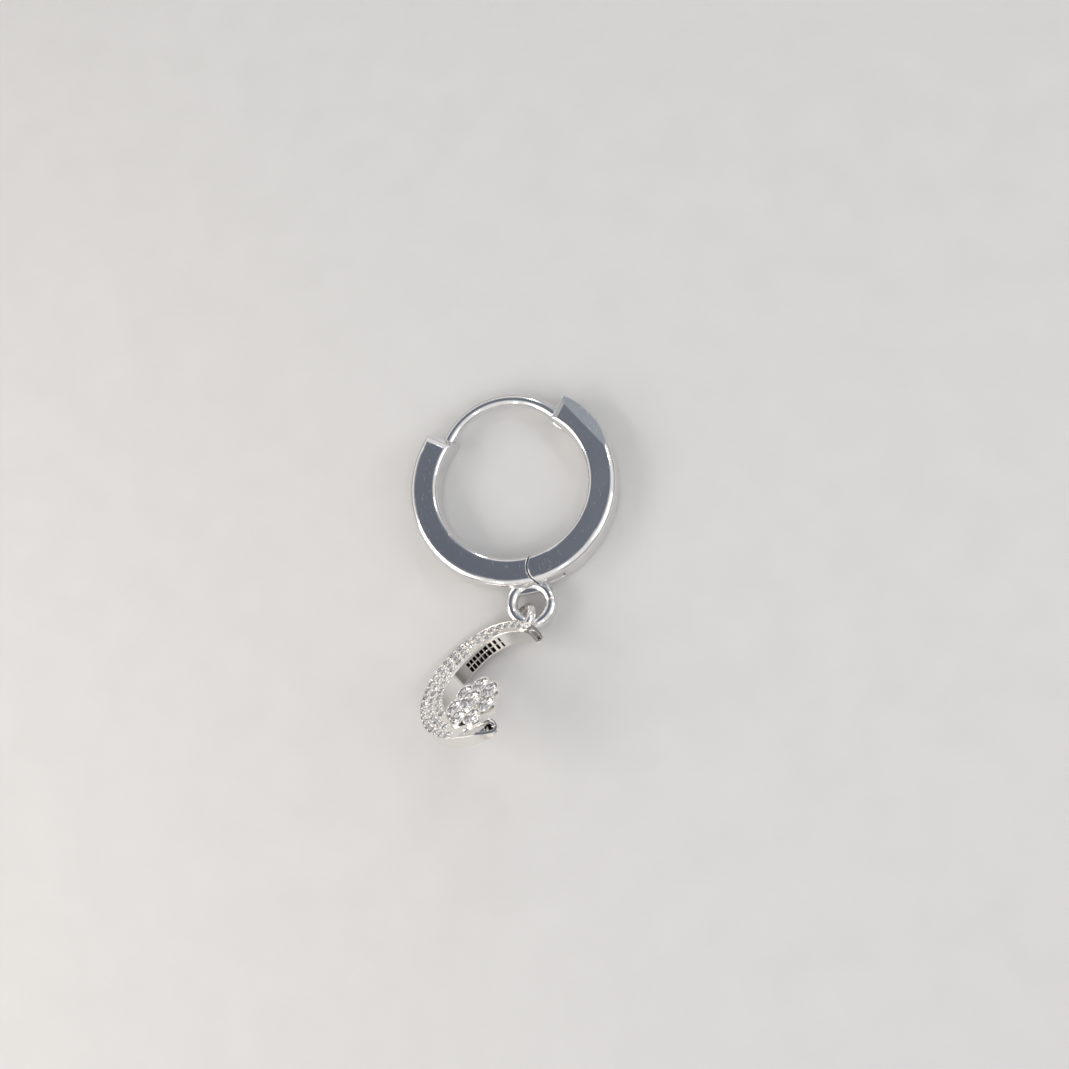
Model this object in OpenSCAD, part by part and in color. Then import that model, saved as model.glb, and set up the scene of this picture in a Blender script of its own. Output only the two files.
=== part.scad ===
// Hinged hoop earring with a snap post, a soldered ring and a stone-set crescent charm.
// Millimetres. It lies flat on the floor z = 0; the origin is under the middle of the hoop.
// The ring points to -Y and the post spans the gap at +Y.

/* [Hoop] */
// Outer radius of the hoop
hoop_outer_r = 6.22; // [6.16:0.02:6.28]
// Inner radius of the hoop
hoop_inner_r = 4.52; // [4.44:0.02:4.58]
// Width of the hoop along its axis
hoop_w = 1.85; // [1.8:0.05:1.95]
// Radius of the outer long edges
edge_out = 0.42; // [0.3:0.02:0.46]
// Radius of the inner long edges
edge_in = 0.3; // [0.2:0.02:0.34]

/* [Snap post] */
// Thickness of the ear wire
post_d = 0.74; // [0.7:0.02:0.8]
// Radius of the bow that the ear wire follows
post_bow_r = 4.08; // [4.04:0.02:4.12]
// Depth of the notch that takes the wire's tip, in degrees of the hoop
notch_deg = 10.2; // [10:0.2:11]

/* [Hinge] */
// Distance of the hinge pin from the middle of the hoop
pin_r = 5.45; // [5.4:0.01:5.5]
// Thickness of the hinge pin
pin_d = 0.7; // [0.6:0.02:0.74]
// Radius of the round ends of the fork
knuckle_r = 1.05; // [1.0:0.01:1.07]
// Width of the gap in the fork
fork_gap = 0.7; // [0.66:0.02:0.76]
// Air between the tongue and each cheek of the fork
side_air = 0.05; // [0.04:0.01:0.08]

/* [Ring] */
// Radius of the middle line of the ring
ring_r = 1.17; // [1.14:0.01:1.18]
// Thickness of the ring wire
ring_d = 0.74; // [0.7:0.02:0.74]

/* [Crescent charm] */
// Outer radius of the crescent
moon_r = 4.18; // [4.14:0.01:4.18]
// Depth of the crescent from front to back
moon_depth = 1; // [0.96:0.01:1]
// Radial width of the horns
horn_w = 0.6; // [0.58:0.02:0.64]
// Extra radial width in the belly
belly_w = 1.0; // [0.96:0.02:1.04]
// Thickness of the front plate
plate_t = 0.3; // [0.28:0.02:0.34]
// Thickness of the side walls
wall_t = 0.3; // [0.28:0.01:0.32]
// Thickness of the wire of the hanging loop
loop_d = 0.52; // [0.48:0.02:0.52]

/* [Stones] */
// Diameter of the small stones in the crescent
pave_d = 0.4; // [0.38:0.01:0.42]
// Diameter of the stones in the petals
petal_stone_d = 0.9; // [0.84:0.02:0.92]
// Diameter of the stone in the middle of the flower
centre_stone_d = 1.2; // [1.12:0.02:1.22]

/* [Hidden] */
$fn = 96;
mid_z = hoop_w / 2;
pin_a = -76.3;
pin_x = pin_r * cos(pin_a);
pin_y = pin_r * sin(pin_a);
post_end_a = 139;
snap_end_a = 53.7;
post_z = 0.95;
post_cx = -0.1;
post_cy = 1.37;
ring_x = 0.035;
ring_y = -7.186;
ring_z = 0.95;
shoulder_r = knuckle_r + 0.08;
moon_pos = [-2.974, -11.556, 3.442];
moon_turn = [43.11, 0, 208.85];
flower_x = 1.04;
flower_y = 1.35;
petal_ring_r = 1.2;
petal_a0 = 18.1;
petal_step = 360 / 7;
cup_r = 0.6;
petal_h = 0.12;
centre_h = 0.3;
row_step = 0.5;
brim_r = 4.11;
brim_shift = 0.32;
lower_tip_a = 76.2;
upper_tip_a = -182.5;

// Radial width of the crescent at an angle: widest in the belly at -40 degrees, with
// a spoon-like swell in the lower horn and a slimmer upper horn
function moon_w(a) = horn_w + belly_w / (1 + pow(abs(a + 40) / 70, 6))
    + 0.24 * exp(-pow((a - 63) / 11, 2)) - min(0.14, 0.0085 * max(0, -a - 148));

// Outer radius of the front plate: a shifted circle that stands proud around -110 degrees
function plate_r(a) = max(moon_r, brim_shift * cos(a + 110)
    + sqrt(pow(brim_r, 2) - pow(brim_shift * sin(a + 110), 2)));

// Rows of small stones, from the outer edge inwards: first angle, step and count
function row_a(k, i) = [-157.75, -125.3, -89.4][k] + i * [7.75, 8.9, 10.4][k];
function row_n(k) = [26, 18, 10][k];

function petal_a(i) = petal_a0 + i * petal_step;
function petal_x(i) = flower_x + petal_ring_r * cos(petal_a(i));
function petal_y(i) = flower_y + petal_ring_r * sin(petal_a(i));

// Hoop: cross-section with rounded long edges
module hoop_section() {
    w = hoop_outer_r - hoop_inner_r;
    translate([hoop_inner_r + edge_in, 0])
        square([w - edge_in - edge_out, hoop_w]);
    translate([hoop_inner_r, edge_in])
        square([w / 2, hoop_w - 2 * edge_in]);
    translate([hoop_inner_r + w / 2 - 0.05, edge_out])
        square([w / 2 + 0.05, hoop_w - 2 * edge_out]);
    for (z = [edge_in, hoop_w - edge_in])
        translate([hoop_inner_r + edge_in, z])
            circle(r = edge_in, $fn = 32);
    for (z = [edge_out, hoop_w - edge_out])
        translate([hoop_outer_r - edge_out, z])
            circle(r = edge_out, $fn = 32);
}

module hoop_arc(a0, a1) {
    rotate([0, 0, a0])
        rotate_extrude(angle = a1 - a0, $fn = 180)
            hoop_section();
}

// Round bar lying along the end of a half, from an inner to an outer angle,
// that domes the end face; side is 1 where the metal lies counter-clockwise
module end_dome(a_in, a_out, side, dome_r) {
    xi = hoop_inner_r * cos(a_in);
    yi = hoop_inner_r * sin(a_in);
    xo = hoop_outer_r * cos(a_out);
    yo = hoop_outer_r * sin(a_out);
    translate([xi, yi, mid_z])
        rotate([0, 0, atan2(yo - yi, xo - xi)])
            translate([-1, side * dome_r, 0])
                rotate([0, 90, 0])
                    cylinder(r = dome_r, h = 4);
}

module pin_column(r, z0, z1) {
    translate([pin_x, pin_y, z0])
        cylinder(r = r, h = z1 - z0);
}

// Ear wire: a bowed round wire with a tapered tip
module ear_wire() {
    translate([post_cx, post_cy, post_z]) {
        rotate([0, 0, 33])
            rotate_extrude(angle = 122, $fn = 180)
                translate([post_bow_r, 0])
                    circle(d = post_d, $fn = 32);
        rotate([0, 0, 33])
            translate([post_bow_r, 0.06, 0])
                rotate([90, 0, 0])
                    cylinder(r1 = post_d / 2 - 0.02, r2 = post_d / 2 - 0.14, h = 0.26, $fn = 32);
    }
}

// Jump ring, cut free of the fork cheeks, with its soldered seam and fillet
module solder_ring() {
    difference() {
        translate([ring_x, ring_y, ring_z])
            rotate_extrude($fn = 96)
                translate([ring_r, 0])
                    circle(d = ring_d, $fn = 32);
        pin_column(shoulder_r, hoop_w / 2 + fork_gap / 2 - side_air, 3);
        pin_column(shoulder_r, -1, hoop_w / 2 - fork_gap / 2 + side_air);
        translate([ring_x + ring_r, ring_y, ring_z])
            rotate([90, 0, 0])
                difference() {
                    cylinder(r = 0.6, h = 0.05, center = true);
                    cylinder(r = ring_d / 2 - 0.04, h = 1, center = true);
                }
    }
    intersection() {
        translate([ring_x, ring_y, ring_z - 0.24])
            cylinder(r = ring_r - 0.1, h = 0.48);
        cylinder(r = hoop_outer_r + 0.4, h = 4);
    }
}

module tongue() {
    translate([0, 0, mid_z - fork_gap / 2 + side_air])
        intersection() {
            union() {
                translate([pin_x, pin_y, 0])
                    cylinder(r = knuckle_r - 0.07, h = fork_gap - 2 * side_air);
                rotate([0, 0, pin_a - 20])
                    rotate_extrude(angle = 20, $fn = 180)
                        translate([hoop_inner_r + 0.06, 0])
                            square([hoop_outer_r - hoop_inner_r - 0.12, fork_gap - 2 * side_air]);
            }
            cylinder(r = hoop_outer_r - 0.06, h = 4);
            difference() {
                translate([0, 0, -1])
                    cylinder(r = 8, h = 4);
                translate([0, 0, -2])
                    cylinder(r = hoop_inner_r + 0.06, h = 6);
            }
        }
}

module post_half() {
    color([0.80, 0.80, 0.82])
        difference() {
            union() {
                difference() {
                    hoop_arc(127, 360 + pin_a);
                    difference() {
                        rotate([0, 0, 151])
                            translate([3, -4, -1])
                                cube([5, 4, 4]);
                        end_dome(131.5, 137.6, 1, 1.45);
                    }
                    end_corner(137.6, 0.5, -1, 4);
                    translate([hoop_inner_r * cos(134.6), hoop_inner_r * sin(134.6), hoop_w])
                        rotate([0, 0, 145.5])
                            translate([-1, 0.56, 0]) {
                                rotate([28, 0, 0])
                                    translate([0, -2, 0])
                                        cube([4, 2, 1]);
                                translate([0, -0.3, -0.16])
                                    rotate([52, 0, 0])
                                        translate([0, -2, 0])
                                            cube([4, 2, 1.5]);
                            }
                    pin_column(shoulder_r, -1, 3);
                }
                tongue();
                solder_ring();
                ear_wire();
            }
            pin_column(pin_d / 2 + 0.04, -1, 3);
        }
}

module snap_half() {
    color([0.82, 0.82, 0.84])
        difference() {
            hoop_arc(pin_a - 16, 58);
            difference() {
                rotate([0, 0, 40])
                    translate([3, 0, -1])
                        cube([5, 4, 4]);
                end_dome(53.5, 53.9, -1, 1.45);
            }
            difference() {
                rotate([0, 0, pin_a])
                    translate([3, -4, -1])
                        cube([5, 4, 4]);
                pin_column(knuckle_r, -2, 4);
            }
            pin_column(knuckle_r + 0.03, mid_z - fork_gap / 2, mid_z + fork_gap / 2);
            pin_column(pin_d / 2 + 0.01, -1, 3);
            rotate([0, 0, snap_end_a - notch_deg])
                translate([0, 0, post_z - post_d / 2 - 0.07])
                    rotate_extrude(angle = notch_deg + 10, $fn = 180)
                        translate([hoop_inner_r - 0.4, 0])
                            square([1.4, post_d + 0.14]);
            end_corner(snap_end_a, 0.32, 1, 0);
            rotate([0, 0, snap_end_a])
                translate([3, -0.62, hoop_w])
                    rotate([-13, 0, 0])
                        cube([4, 2, 1]);
            rotate([0, 0, 33])
                translate([5.48, -3, hoop_w])
                    rotate([0, 22, 0])
                        cube([2, 6, 1]);
        }
}

// Corner of waste that leaves the outer tip of a half round
module end_corner(a, r, side, tilt) {
    rotate([0, 0, a])
        translate([hoop_outer_r, 0, -1])
            rotate([0, 0, tilt])
                translate([-r, -side * r, 0])
                    difference() {
                        translate([0, side > 0 ? 0 : -1, 0])
                            cube([1, 1, 4]);
                        translate([0, 0, -1])
                            cylinder(r = r, h = 6, $fn = 48);
                    }
}

// Hinge pin with both ends filed flush with the cheeks
module hinge_pin() {
    color([0.74, 0.74, 0.76])
        pin_column(pin_d / 2, 0.005, hoop_w - 0.005);
}

module in_moon() {
    translate(moon_pos)
        rotate(moon_turn)
            children();
}

// Wedge of the crescent outline, grown or shrunk by d, between two angles
module moon_shape(a0, a1, d, z0, z1) {
    n = 80;
    inner = [for (i = [0:n]) let (a = a0 + (a1 - a0) * i / n)
        [(moon_r - moon_w(a) - d) * cos(a), (moon_r - moon_w(a) - d) * sin(a)]];
    outer = [for (i = [n:-1:0]) let (a = a0 + (a1 - a0) * i / n)
        [6 * cos(a), 6 * sin(a)]];
    translate([0, 0, z0])
        intersection() {
            linear_extrude(height = z1 - z0)
                polygon(concat(inner, outer));
            cylinder(r = moon_r + d, h = z1 - z0, $fn = 180);
        }
}

// Brim of the front plate, proud of the outer wall
module plate_brim() {
    translate([0, 0, 0.02 - plate_t])
        intersection() {
            linear_extrude(height = plate_t - 0.02)
                polygon([for (a = [0, -181.8, -140, -100, -60, -20]) (a == 0 ? 0 : 8) * [cos(a), sin(a)]]);
            difference() {
                rotate([0, 0, -110])
                    translate([brim_shift, 0, -1])
                        cylinder(r = brim_r, h = 3, $fn = 180);
                translate([0, 0, -2])
                    cylinder(r = moon_r - 0.28, h = 5, $fn = 180);
            }
        }
}

// Round end of a horn
module horn_end(a, z0, z1) {
    rotate([0, 0, a])
        translate([moon_r - moon_w(a) / 2, 0, z0])
            cylinder(r = moon_w(a) / 2 - 0.012, h = z1 - z0, $fn = 48);
}

// Slanted cut under a horn that thins it towards its tip
module horn_thinning(a, slope, side) {
    rotate([0, 0, a])
        translate([moon_r - 1.3, 0, -moon_depth])
            rotate([side * slope, 0, 0])
                translate([0, side > 0 ? 0 : -3, -2])
                    cube([2.6, 3, 2]);
}

// Frame of a slanted front: x falls from the distance d along the direction a
module slant(a, d, fall) {
    rotate([0, 0, a])
        translate([d, 0, 0])
            rotate([0, fall, 0])
                children();
}

// The long slant of the lower horn, the steeper one at its tip and that of the upper horn
module lower_slant() {
    slant(95, 2.85, 13)
        children();
}

module lower_tip_slant() {
    slant(98, 3.22, 42)
        children();
}

module upper_slant() {
    slant(98, -0.75, 6)
        children();
}

// Bevel around the back edge of the outer wall, on which the charm rests
module back_bevel() {
    translate([0, 0, -moon_depth - 0.49])
        difference() {
            cylinder(r = 5.5, h = 0.705);
            translate([0, 0, -0.01])
                cylinder(r1 = moon_r - 0.727, r2 = moon_r + 0.01, h = 0.72, $fn = 180);
        }
}

// Column along a horn, with round ends, from one height to another
module horn_column(r, a0, a1, w, z0, z1) {
    translate([0, 0, z0]) {
        rotate([0, 0, a0])
            rotate_extrude(angle = a1 - a0, $fn = 180)
                translate([r - w / 2, 0])
                    square([w, z1 - z0]);
        for (a = [a0, a1])
            rotate([0, 0, a])
                translate([r, 0, 0])
                    cylinder(d = w, h = z1 - z0, $fn = 32);
    }
}

// Recess in the slanted front of a horn with a deep hole at its tip
module lower_recess() {
    difference() {
        horn_column(3.79, 55.5, 76, 0.5, -2, 1);
        intersection() {
            lower_slant()
                translate([-4, -6, -3.16])
                    cube([8, 12, 3]);
            lower_tip_slant()
                translate([-4, -6, -3.16])
                    cube([8, 12, 3]);
        }
    }
    horn_column(3.8, 72.8, 75.2, 0.34, -0.56, 1);
}

module upper_recess() {
    difference() {
        horn_column(3.95, -181.5, -167.8, 0.26, -2, 1);
        upper_slant()
            translate([-3, -2, -3.1])
                cube([6, 8, 3]);
    }
    horn_column(3.95, -180.6, -177.5, 0.18, -0.31, 1);
}

// Seat for a round stone: open top, cone under the girdle, hole behind it
module seat(r, deep) {
    translate([0, 0, -0.09 * r])
        cylinder(r = r + 0.02, h = 1, $fn = 32);
    translate([0, 0, -0.72 * r])
        cylinder(r1 = 0.36 * r, r2 = r + 0.02, h = 0.63 * r + 0.001, $fn = 32);
    translate([0, 0, -deep])
        cylinder(r = 0.42 * r, h = deep, $fn = 24);
}

// Brilliant: table, facetted crown, girdle and facetted pavilion, girdle top at z = 0
module brilliant(r) {
    hull() {
        cylinder(r = r, h = 0.001, $fn = 16);
        rotate([0, 0, 11.25])
            translate([0, 0, 0.3 * r])
                cylinder(r = 0.57 * r, h = 0.001, $fn = 8);
    }
    translate([0, 0, -0.06 * r])
        linear_extrude(height = 0.061 * r)
            circle(r = r, $fn = 16);
    hull() {
        translate([0, 0, -0.06 * r])
            cylinder(r = r, h = 0.001, $fn = 16);
        rotate([0, 0, 11.25])
            translate([0, 0, -0.66 * r])
                cylinder(r = 0.16 * r, h = 0.001, $fn = 8);
    }
}

// Small brilliant with eight sides
module small_brilliant(r) {
    cylinder(r1 = r, r2 = 0.58 * r, h = 0.3 * r, $fn = 8);
    translate([0, 0, -0.06 * r])
        cylinder(r = r, h = 0.061 * r, $fn = 8);
    translate([0, 0, -0.66 * r])
        cylinder(r1 = 0.12 * r, r2 = r, h = 0.601 * r, $fn = 8);
}

module moon_body() {
    moon_shape(upper_tip_a, lower_tip_a, 0, -moon_depth, 0);
    horn_end(upper_tip_a, -moon_depth, 0);
    horn_end(lower_tip_a, -moon_depth, 0);
    plate_brim();
}

// Hollow back of the crescent, shorter than the horns
module moon_hollow() {
    moon_shape(-130, 48, -wall_t, -moon_depth - 1, -plate_t);
}

// Two rows of blind cells in the inner side wall, wider towards the belly
module windows() {
    for (i = [0:8])
        for (k = [0:1])
            let (a = -128 + i * 5.2, w = min(4.2, 1.8 + 0.8 * i))
                rotate([0, 0, a])
                    rotate_extrude(angle = w, $fn = 90)
                        translate([moon_r - moon_w(a + w / 2) - 0.3, [0.1, 0.53][k] - moon_depth])
                            square([0.5, [0.37, 0.29][k]]);
}

module flower_metal() {
    for (i = [0:6])
        translate([petal_x(i), petal_y(i), 0]) {
            translate([0, 0, -0.1])
                cylinder(r = cup_r, h = 0.1 + petal_h, $fn = 64);
            translate([0, 0, -0.55])
                cylinder(r1 = 0.36, r2 = cup_r, h = 0.45, $fn = 64);
        }
    translate([flower_x, flower_y, -0.55])
        cylinder(r = 0.74, h = 0.55 + centre_h, $fn = 64);
    rotate([0, 0, 47])
        translate([2.7, -0.45, -0.55])
            cube([0.95, 0.9, 0.4]);
}

// Wire loop soldered to the outer wall of the crescent
module hanging_loop() {
    translate([4.85 * cos(-140), 4.85 * sin(-140), -0.49])
        rotate([0, 0, -140])
            rotate([-15, 0, 0])
                rotate([0, -10, 0])
                    rotate_extrude($fn = 72)
                        translate([0.9, 0])
                            circle(d = loop_d, $fn = 24);
}

module pave_places() {
    for (k = [0:2])
        for (i = [0:row_n(k) - 1])
            rotate([0, 0, row_a(k, i)])
                translate([plate_r(row_a(k, i)) - 0.28 - k * row_step, 0, 0])
                    children();
}

module crescent() {
    color([0.84, 0.84, 0.85])
        in_moon()
            difference() {
                union() {
                    difference() {
                        moon_body();
                        moon_hollow();
                        windows();
                        back_bevel();
                        horn_thinning(68, 22, 1);
                        horn_thinning(-158, 22, -1);
                        lower_slant()
                            translate([0, -4.5, 0])
                                cube([4, 6, 3]);
                        lower_tip_slant()
                            translate([0, -4.5, 0])
                                cube([4, 6, 3]);
                        upper_slant()
                            translate([0, 1.6, 0])
                                cube([3, 3.4, 2]);
                    }
                    flower_metal();
                    hanging_loop();
                }
                pave_places()
                    translate([0, 0, -0.01])
                        seat(pave_d / 2, plate_t - 0.1);
                for (i = [0:6])
                    translate([petal_x(i), petal_y(i), petal_h - 0.02])
                        seat(petal_stone_d / 2, 1);
                translate([flower_x, flower_y, centre_h - 0.02])
                    seat(centre_stone_d / 2, 1.2);
                lower_recess();
                upper_recess();
            }
}

module petal_stone(i) {
    color([0.90, 0.93, 0.97])
        in_moon()
            translate([petal_x(i), petal_y(i), petal_h - 0.02])
                brilliant(petal_stone_d / 2);
}

module centre_stone() {
    color([0.92, 0.95, 0.98])
        in_moon()
            translate([flower_x, flower_y, centre_h - 0.02])
                brilliant(centre_stone_d / 2);
}

module pave_stones() {
    color([0.88, 0.92, 0.97])
        in_moon()
            pave_places()
                translate([0, 0, -0.01])
                    small_brilliant(pave_d / 2);
}

post_half();
snap_half();
hinge_pin();
crescent();
centre_stone();
petal_stone(0);  // petal_stone_1
petal_stone(1);  // petal_stone_2
petal_stone(2);  // petal_stone_3
petal_stone(3);  // petal_stone_4
petal_stone(4);  // petal_stone_5
petal_stone(5);  // petal_stone_6
petal_stone(6);  // petal_stone_7
pave_stones();
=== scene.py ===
import math
import bpy
import bmesh
from mathutils import Matrix, Vector


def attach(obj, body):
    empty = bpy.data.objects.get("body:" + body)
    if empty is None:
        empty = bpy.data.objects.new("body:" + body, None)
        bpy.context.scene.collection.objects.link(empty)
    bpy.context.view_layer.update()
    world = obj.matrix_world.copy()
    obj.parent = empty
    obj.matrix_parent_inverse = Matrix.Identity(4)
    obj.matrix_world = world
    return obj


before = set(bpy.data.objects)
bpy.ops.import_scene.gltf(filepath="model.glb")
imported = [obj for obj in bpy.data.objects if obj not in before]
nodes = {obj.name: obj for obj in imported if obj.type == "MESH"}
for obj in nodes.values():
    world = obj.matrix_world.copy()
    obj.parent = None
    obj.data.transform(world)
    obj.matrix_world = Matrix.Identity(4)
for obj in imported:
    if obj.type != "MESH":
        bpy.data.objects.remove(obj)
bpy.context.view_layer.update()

# Post half of the hoop
# The left half of the hoop with the tongue of the hinge, the bowed ear wire and the
# soldered ring: cast sterling silver, rhodium plated and polished, so it mirrors the
# room; its flat faces carry sparse hairline scratches of wear.
MM = 0.001


def srgb(code):
    """A colour written as sRGB hex, as linear RGBA."""
    parts = [int(code[i:i + 2], 16) / 255 for i in (0, 2, 4)]
    line = [p / 12.92 if p <= 0.04045 else ((p + 0.055) / 1.055) ** 2.4 for p in parts]
    return (*line, 1.0)


def add(tree, kind, inputs=None, **settings):
    """Adds a shader node with its settings, and its inputs as values or as sockets to link."""
    made = tree.nodes.new(kind)
    for key, value in settings.items():
        setattr(made, key, value)
    for key, value in (inputs or {}).items():
        if isinstance(value, bpy.types.NodeSocket):
            tree.links.new(value, made.inputs[key])
        else:
            made.inputs[key].default_value = value
    return made


def material(name):
    """An empty material and its node tree."""
    made = bpy.data.materials.new(name)
    made.use_nodes = True
    made.node_tree.nodes.clear()
    return made, made.node_tree


def finish_with(piece, *finishes):
    """Puts the finishes in a piece's material slots."""
    piece.data.materials.clear()
    for made in finishes:
        piece.data.materials.append(made)


def polished_silver(name, tint, dull, hair_mm, sparse, painted_shade_tone=None, edge_mm=0.06, crisp=None):
    """Polished rhodium over silver: near-white and mirror-like. Thin hairs of rougher metal
    read as white scratches; given a shade colour, grooves and holes take it as painted shade where ambient
    occlusion finds them shut in.
    The wheel rounds every edge by edge_mm, but hardly inside crisp, a place and its radius."""
    made, tree = material(name)
    place = add(tree, "ShaderNodeTexCoord").outputs["Object"]
    cloud = add(tree, "ShaderNodeTexNoise", {"Vector": place, "Scale": 1 / (1.4 * MM), "Detail": 3.0})
    tone = add(tree, "ShaderNodeMix", {"Factor": cloud.outputs["Fac"], "A": srgb(tint), "B": srgb(dull)},
               data_type="RGBA").outputs["Result"]
    # Painted shade: where ambient occlusion finds grooves, holes and the seats of the stones shut in, the colour
    # is pulled towards the shade colour.
    if painted_shade_tone:
        shade = add(tree, "ShaderNodeAmbientOcclusion", {"Distance": 0.55 * MM}, samples=6, only_local=True)
        painted_shade_mask = add(tree, "ShaderNodeMapRange", {"Value": shade.outputs["AO"], "From Min": 0.08,
                                                "From Max": 0.42, "To Min": 1.0, "To Max": 0.0})
        tone = add(tree, "ShaderNodeMix", {"Factor": painted_shade_mask.outputs["Result"], "A": tone, "B": srgb(painted_shade_tone)},
                   data_type="RGBA").outputs["Result"]
    hairs = None
    for turn, stretch in ((0.4, 18.0), (1.3, 24.0), (2.3, 20.0)):
        scale = (1 / (hair_mm * MM), 1 / (hair_mm * stretch * MM), 1 / (2.0 * MM))
        turned = add(tree, "ShaderNodeMapping", {"Vector": place, "Rotation": (0.1, 0.2, turn), "Scale": scale})
        hair = add(tree, "ShaderNodeTexNoise", {"Vector": turned.outputs["Vector"], "Scale": 1.0, "Detail": 1.0})
        line = add(tree, "ShaderNodeMapRange", {"Value": hair.outputs["Fac"], "From Min": sparse,
                                                "From Max": sparse + 0.06}).outputs["Result"]
        if hairs:
            hairs = add(tree, "ShaderNodeMath", {0: hairs, 1: line}, operation="MAXIMUM").outputs[0]
        else:
            hairs = line
    haze = add(tree, "ShaderNodeMapRange", {"Value": cloud.outputs["Fac"], "To Min": 0.07, "To Max": 0.13})
    rough = add(tree, "ShaderNodeMath", {0: hairs, 1: 0.22, 2: haze.outputs["Result"]},
                operation="MULTIPLY_ADD")
    dent = add(tree, "ShaderNodeBump", {"Height": hairs, "Strength": 0.35, "Distance": 0.003 * MM},
               invert=True)
    edge = add(tree, "ShaderNodeBevel", {"Radius": edge_mm * MM, "Normal": dent.outputs["Normal"]}, samples=6)
    if crisp:
        away = add(tree, "ShaderNodeVectorMath", {0: place, 1: Vector(crisp[:3]) * MM}, operation="DISTANCE")
        wear = add(tree, "ShaderNodeMapRange", {"Value": away.outputs["Value"], "From Min": crisp[3] * MM,
                                                "From Max": 1.3 * crisp[3] * MM, "To Min": 0.01 * MM,
                                                "To Max": edge_mm * MM})
        tree.links.new(wear.outputs["Result"], edge.inputs["Radius"])
    skin = add(tree, "ShaderNodeBsdfPrincipled", {"Base Color": tone, "Metallic": 1.0,
                                                  "Roughness": rough.outputs[0],
                                                  "Normal": edge.outputs["Normal"]})
    add(tree, "ShaderNodeOutputMaterial", {"Surface": skin.outputs["BSDF"]})
    return made


PIN_HEAD = (1.291, -5.295, 1.85, 0.62)
hoop_silver = polished_silver("rhodium_silver_polished_scratched", "F4F2F0", "DDDEE1", 0.026, 0.73,
                              edge_mm=0.12, crisp=PIN_HEAD)
finish_with(nodes["post_half"], hoop_silver)

# Snap half of the hoop and its hinge pin
# The right half swings on a pin through its fork; the pin's ends are filed flush and
# polished over with the cheeks, so only a thin circle shows.
finish_with(nodes["snap_half"], hoop_silver)
pin_silver = polished_silver("rhodium_silver_filed_flush", "F0EEEC", "E4E2E2", 0.018, 0.72, edge_mm=0.01)
finish_with(nodes["hinge_pin"], pin_silver)

# Crescent charm
# Cast silver crescent with a soldered loop, cells in its inner wall and a flower of cups,
# polished on its walls, with painted shade darkening its grooves; rims and grains of metal
# cut up around the stones hold them.
# Its grooves, holes and the seats around the stones get painted shade in colour 5E5953.
charm_silver = polished_silver("rhodium_silver_charm", "F7F5F2", "EFECE8", 0.03, 0.80,
                               painted_shade_tone="5E5953", edge_mm=0.045)
moon = (Matrix.Translation(Vector((-2.974, -11.556, 3.442)) * MM)
        @ Matrix.Rotation(math.radians(208.85), 4, "Z")
        @ Matrix.Rotation(math.radians(43.11), 4, "X"))
flower = Vector((1.04, 1.35, 0)) * MM

# Sizes of the crescent, as in the part: its radius, the width of its horns and what the
# belly adds, and the shifted circle of its front plate.
MOON_R = 4.18
HORN_W = 0.6
BELLY_W = 1.0
BRIM_R = 4.11
BRIM_SHIFT = 0.32


def plate_r(a):
    """Outer radius of the crescent's front at an angle, as in the part."""
    t = math.radians(a + 110)
    return max(MOON_R, BRIM_SHIFT * math.cos(t) + math.sqrt(BRIM_R ** 2 - (BRIM_SHIFT * math.sin(t)) ** 2))


def inner_r(a):
    """Inner radius of the crescent at an angle, as in the part."""
    wide = HORN_W + BELLY_W / (1 + (abs(a + 40) / 70) ** 6) + 0.24 * math.exp(-((a - 63) / 11) ** 2)
    return MOON_R - wide + min(0.14, 0.0085 * max(0, -a - 148))


def unpolished_and_shaded(a, r, z, out_z):
    """Whether a spot of the crescent's surface lies in its hollow, a cell or a horn's hole, where it gets the
    painted shade.
    """
    wall = inner_r(a)
    hollow = -132 < a < 50 and wall + 0.28 < r < 3.9 and -0.995 < z < -0.29 and out_z < 0.5
    cell = -130 < a < -80 and wall + 0.02 < r < wall + 0.22 and -0.92 < z < -0.16
    low_horn = 72.5 < a < 75.6 and 3.6 < r < 4.0 and -0.6 < z and (out_z < 0.3 or z < -0.54)
    high_horn = abs(a) > 177.3 and 3.84 < r < 4.06 and -0.35 < z < 0 and (out_z < 0.5 or z < -0.3)
    return hollow or cell or low_horn or high_horn


# Cast silver that no polishing wheel reaches, in the hollow, the wall's cells and the holes of the horns:
# it stays rough, and its colour is painted nearly black as painted shade, so the cells read as dark.
painted_shade_silver, tree = material("silver_cast_rough_painted_shade")
place = add(tree, "ShaderNodeTexCoord").outputs["Object"]
sand = add(tree, "ShaderNodeTexNoise", {"Vector": place, "Scale": 1 / (0.08 * MM), "Detail": 4.0})
tone = add(tree, "ShaderNodeMix", {"Factor": sand.outputs["Fac"], "A": srgb("141210"), "B": srgb("35312D")},
           data_type="RGBA")
grit = add(tree, "ShaderNodeBump", {"Height": sand.outputs["Fac"], "Strength": 0.5, "Distance": 0.01 * MM})
skin = add(tree, "ShaderNodeBsdfPrincipled", {"Base Color": tone.outputs["Result"], "Metallic": 1.0,
                                              "Roughness": 0.55, "Normal": grit.outputs["Normal"]})
add(tree, "ShaderNodeOutputMaterial", {"Surface": skin.outputs["BSDF"]})
crescent = nodes["crescent"]
finish_with(crescent, charm_silver, painted_shade_silver)
to_charm = moon.inverted()
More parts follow.
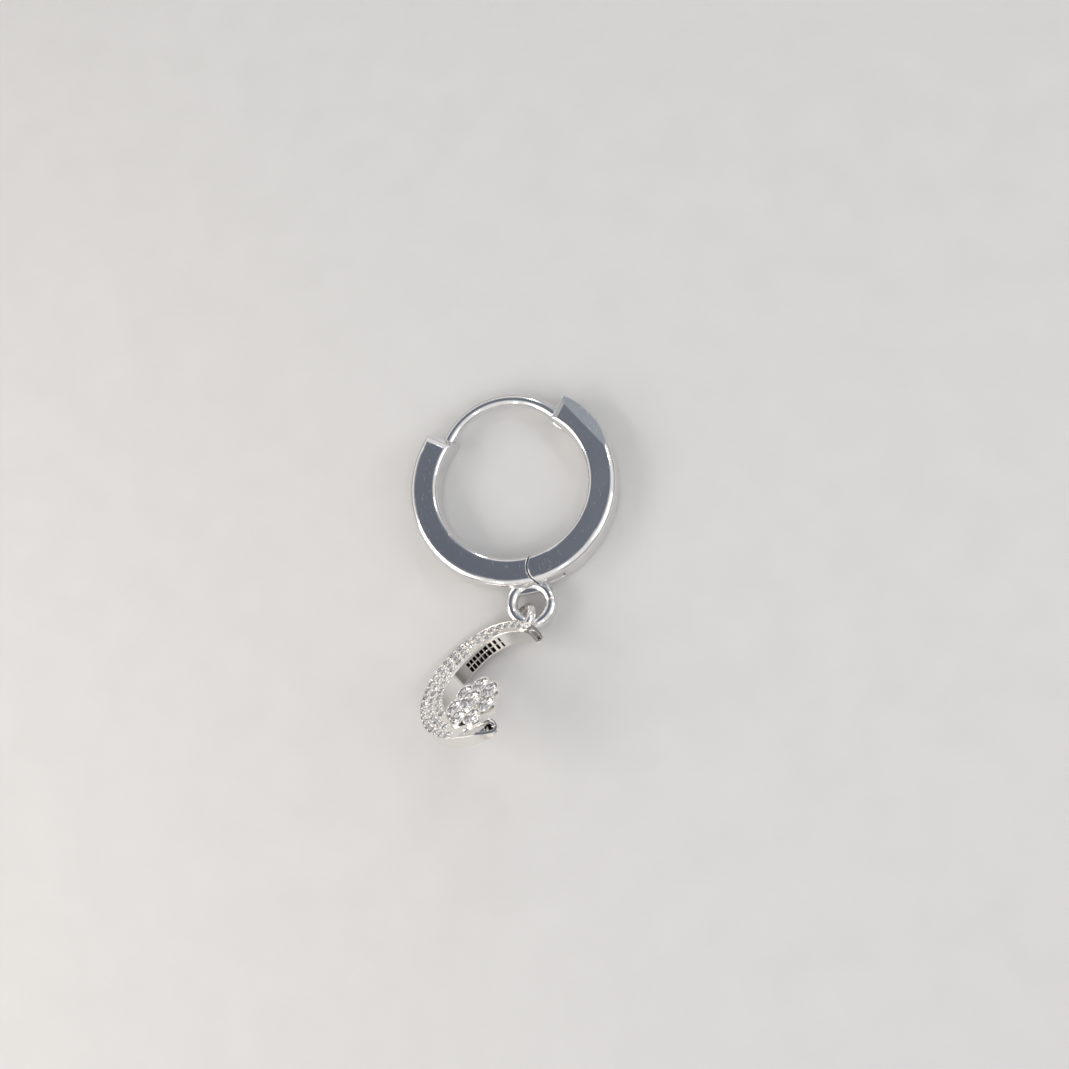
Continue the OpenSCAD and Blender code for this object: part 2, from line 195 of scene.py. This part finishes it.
# Faces in the hollow, the cells and the horns' holes take the second slot: the rough metal with painted shade.
for face in crescent.data.polygons:
    spot = to_charm @ (crescent.matrix_world @ face.center) / MM
    out = to_charm.to_3x3() @ (crescent.matrix_world.to_3x3() @ face.normal)
    turn = math.degrees(math.atan2(spot.y, spot.x))
    if unpolished_and_shaded(turn, math.hypot(spot.x, spot.y), spot.z, out.z):
        face.material_index = 1


def polar(r, degrees, h):
    """A place in the charm's own frame, from a radius and a height in mm."""
    a = math.radians(degrees)
    return Vector((r * math.cos(a), r * math.sin(a), h)) * MM


def charm_piece(name, bm):
    """Turns a mesh drawn in the charm's own frame into a piece that rides with the charm."""
    bmesh.ops.transform(bm, matrix=moon, verts=bm.verts)
    bmesh.ops.recalc_face_normals(bm, faces=bm.faces)
    mesh = bpy.data.meshes.new(name)
    bm.to_mesh(mesh)
    bm.free()
    for face in mesh.polygons:
        face.use_smooth = True
    piece = bpy.data.objects.new(name, mesh)
    bpy.context.scene.collection.objects.link(piece)
    finish_with(piece, charm_silver)
    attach(piece, "ear_body")
    return piece


def grains(name, places, radius_mm, flat=0.8):
    """Small domed grains of metal at places of the charm's own frame."""
    bm = bmesh.new()
    for spot in places:
        made = bmesh.ops.create_icosphere(bm, subdivisions=2, radius=radius_mm * MM)
        bmesh.ops.scale(bm, vec=(1, 1, flat), verts=made["verts"])
        bmesh.ops.translate(bm, vec=spot, verts=made["verts"])
    return charm_piece(name, bm)


def rim(name, radius_of, a0, a1, thick_mm):
    """A thin raised rim: a ring spun at 4 mm, then moved to an edge of the crescent's front."""
    bm = bmesh.new()
    made = bmesh.ops.create_circle(bm, segments=10, radius=thick_mm * MM, cap_ends=False)
    bmesh.ops.rotate(bm, matrix=Matrix.Rotation(math.radians(90), 3, "X"), verts=made["verts"])
    bmesh.ops.translate(bm, vec=(4 * MM, 0, 0), verts=made["verts"])
    bmesh.ops.rotate(bm, matrix=Matrix.Rotation(math.radians(a0), 3, "Z"), verts=made["verts"])
    bmesh.ops.spin(bm, geom=bm.edges[:], cent=(0, 0, 0), axis=(0, 0, 1), angle=math.radians(a1 - a0),
                   steps=110)
    for v in bm.verts:
        a = math.degrees(math.atan2(v.co.y, v.co.x))
        flat = Vector((v.co.x, v.co.y, 0))
        v.co += flat.normalized() * (radius_of(a) - 4) * MM
    bmesh.ops.remove_doubles(bm, verts=bm.verts, dist=1e-7)
    bmesh.ops.holes_fill(bm, edges=bm.edges, sides=10)
    return charm_piece(name, bm)


rim("rim_outer", lambda a: plate_r(a) - 0.035, -159, 40, 0.042)
rim("rim_inner", lambda a: inner_r(a) + 0.035, -152, 34, 0.038)

# Two grains between each pair of neighbours in a row of small stones. The rows are as in
# the part: first angle, step and count.
ROWS = ((-157.75, 7.75, 26), (-125.3, 8.9, 18), (-89.4, 10.4, 10))
spots = []
for k, (start, step, count) in enumerate(ROWS):
    for i in range(count + 1):
        a = start + (i - 0.5) * step
        for side in (-0.155, 0.155):
            spots.append(polar(plate_r(a) - 0.28 - 0.5 * k + side, a, 0.0))
grains("pave_grains", spots, 0.068)

# Three prongs on each petal's cup and six on the centre's.
spots = []
for i in range(7):
    a = 18.1 + i * 360 / 7
    for k in (60, 180, 300):
        spots.append(flower + polar(1.2, a, 0) + polar(0.5, a + k, 0.13))
for k in range(6):
    spots.append(flower + polar(0.64, 10 + 60 * k, 0.32))
grains("flower_prongs", spots, 0.085, 0.95)

# Cut stones
# Cubic zirconia, cut as round brilliants: clear, with sharp facets and an IOR of about
# 2.15, so most of the light is turned back out through the table.
zirconia, tree = material("cubic_zirconia_cut")
place = add(tree, "ShaderNodeTexCoord").outputs["Object"]
haze = add(tree, "ShaderNodeTexNoise", {"Vector": place, "Scale": 1 / (0.6 * MM), "Detail": 2.0})
tone = add(tree, "ShaderNodeMix", {"Factor": haze.outputs["Fac"], "A": srgb("F6F6FA"), "B": srgb("FFFFFF")},
           data_type="RGBA")
glassy = add(tree, "ShaderNodeBsdfPrincipled", {"Base Color": tone.outputs["Result"], "Metallic": 0.0,
                                                "Roughness": 0.02, "IOR": 2.15,
                                                "Transmission Weight": 1.0})
add(tree, "ShaderNodeOutputMaterial", {"Surface": glassy.outputs["BSDF"]})
for name in ["centre_stone", "pave_stones"] + ["petal_stone_%d" % i for i in range(1, 8)]:
    finish_with(nodes[name], zirconia)

# Stage: floor, light and camera
# A plain pale floor under the earring, a large soft light from the left and a
# weak fill, as in a light tent, and five small lamps for the glints of the stones.
bm = bmesh.new()
bmesh.ops.create_grid(bm, x_segments=1, y_segments=1, size=0.4)
mesh = bpy.data.meshes.new("floor")
bm.to_mesh(mesh)
bm.free()
floor = bpy.data.objects.new("floor", mesh)
bpy.context.scene.collection.objects.link(floor)
# Matte paper, a little uneven in tone.
paper, tree = material("paper_matte")
place = add(tree, "ShaderNodeTexCoord").outputs["Object"]
grainy = add(tree, "ShaderNodeTexNoise", {"Vector": place, "Scale": 1 / (3 * MM)})
tone = add(tree, "ShaderNodeMix", {"Factor": grainy.outputs["Fac"], "A": srgb("D2D1CF"), "B": srgb("D9D8D6")},
           data_type="RGBA")
flat = add(tree, "ShaderNodeBsdfPrincipled", {"Base Color": tone.outputs["Result"], "Roughness": 0.9,
                                              "Specular IOR Level": 0.2})
add(tree, "ShaderNodeOutputMaterial", {"Surface": flat.outputs["BSDF"]})
finish_with(floor, paper)


def softbox(name, place_mm, aim_mm, size_mm, power, tint):
    """A square soft light at a place, turned towards what it aims at."""
    data = bpy.data.lights.new(name, "AREA")
    data.shape = "RECTANGLE"
    data.size = size_mm * MM
    data.size_y = size_mm * MM
    data.energy = power
    data.color = srgb(tint)[:3]
    lamp = bpy.data.objects.new(name, data)
    lamp.location = Vector(place_mm) * MM
    aim = Vector(aim_mm) * MM - lamp.location
    lamp.rotation_euler = aim.to_track_quat("-Z", "Y").to_euler()
    bpy.context.scene.collection.objects.link(lamp)


softbox("key_light", (-100, -30, 60), (0, -3, 0), 90, 0.06, "FFF8F0")
softbox("fill_light", (90, -30, 60), (0, -3, 0), 60, 0.02, "F4F6FF")
for k, place in enumerate(((-95, 15, 75), (15, 95, 70), (65, 45, 95), (-50, -85, 75), (30, -75, 100))):
    softbox("glint_light_%d" % (k + 1), place, (0, -8, 0), 9, 0.006, "FFFFFF")

# The tent: dim near the floor and bright above, with a folded grey cloth where the flat
# faces of the hoop look, a grey card for the facet of the snap half and a warm white one
# low in front for the lower horn.
world = bpy.data.worlds.new("light_tent")
bpy.context.scene.world = world
world.use_nodes = True
tree = world.node_tree
tree.nodes.clear()
way = add(tree, "ShaderNodeTexCoord").outputs["Generated"]
height = add(tree, "ShaderNodeSeparateXYZ", {"Vector": way}).outputs["Z"]
walls = add(tree, "ShaderNodeMapRange", {"Value": height, "From Min": 0.05, "From Max": 0.40})
sky = add(tree, "ShaderNodeMix", {"Factor": walls.outputs["Result"], "A": srgb("6E6A68"), "B": srgb("F6F5F4")},
          data_type="RGBA").outputs["Result"]
folds = add(tree, "ShaderNodeTexNoise", {"Vector": way, "Scale": 9.0, "Detail": 3.0})
cloth = add(tree, "ShaderNodeMix", {"Factor": folds.outputs["Fac"], "A": srgb("575C68"), "B": srgb("868B95")},
            data_type="RGBA").outputs["Result"]
for centre, rim_at, full_at, colour in (((-0.145, 0.276, 0.950), 0.80, 0.96, cloth),
                                        ((0.36, 0.66, 0.66), 0.93, 0.995, srgb("A2A7AF")),
                                        ((-0.22, -0.97, 0.08), 0.82, 0.93, srgb("F8F1EA"))):
    toward = add(tree, "ShaderNodeVectorMath", {0: way, 1: centre}, operation="DOT_PRODUCT")
    patch = add(tree, "ShaderNodeMapRange", {"Value": toward.outputs["Value"], "From Min": rim_at,
                                             "From Max": full_at})
    sky = add(tree, "ShaderNodeMix", {"Factor": patch.outputs["Result"], "A": sky, "B": colour},
              data_type="RGBA").outputs["Result"]
glow = add(tree, "ShaderNodeBackground", {"Color": sky, "Strength": 0.95})
add(tree, "ShaderNodeOutputWorld", {"Surface": glow.outputs["Background"]})

# The camera: its place in mm and its own right, up and back, fitted to the photo.
camera = bpy.data.objects.new("camera", bpy.data.cameras.new("camera"))
bpy.context.scene.collection.objects.link(camera)
camera.data.sensor_width = 36.0
camera.data.lens = 51.358
camera.data.clip_start = 0.001
camera.data.clip_end = 10.0
right = Vector((0.972302, -0.138413, -0.188336))
up = Vector((0.18347, 0.951196, 0.248124))
back = Vector((0.144801, -0.275805, 0.950244))
place = Vector((13.7448, -27.7678, 85.8703)) * MM
camera.matrix_world = Matrix(((right.x, up.x, back.x, place.x), (right.y, up.y, back.y, place.y),
                              (right.z, up.z, back.z, place.z), (0, 0, 0, 1)))
bpy.context.scene.camera = camera
bpy.context.scene.view_settings.view_transform = "Standard"
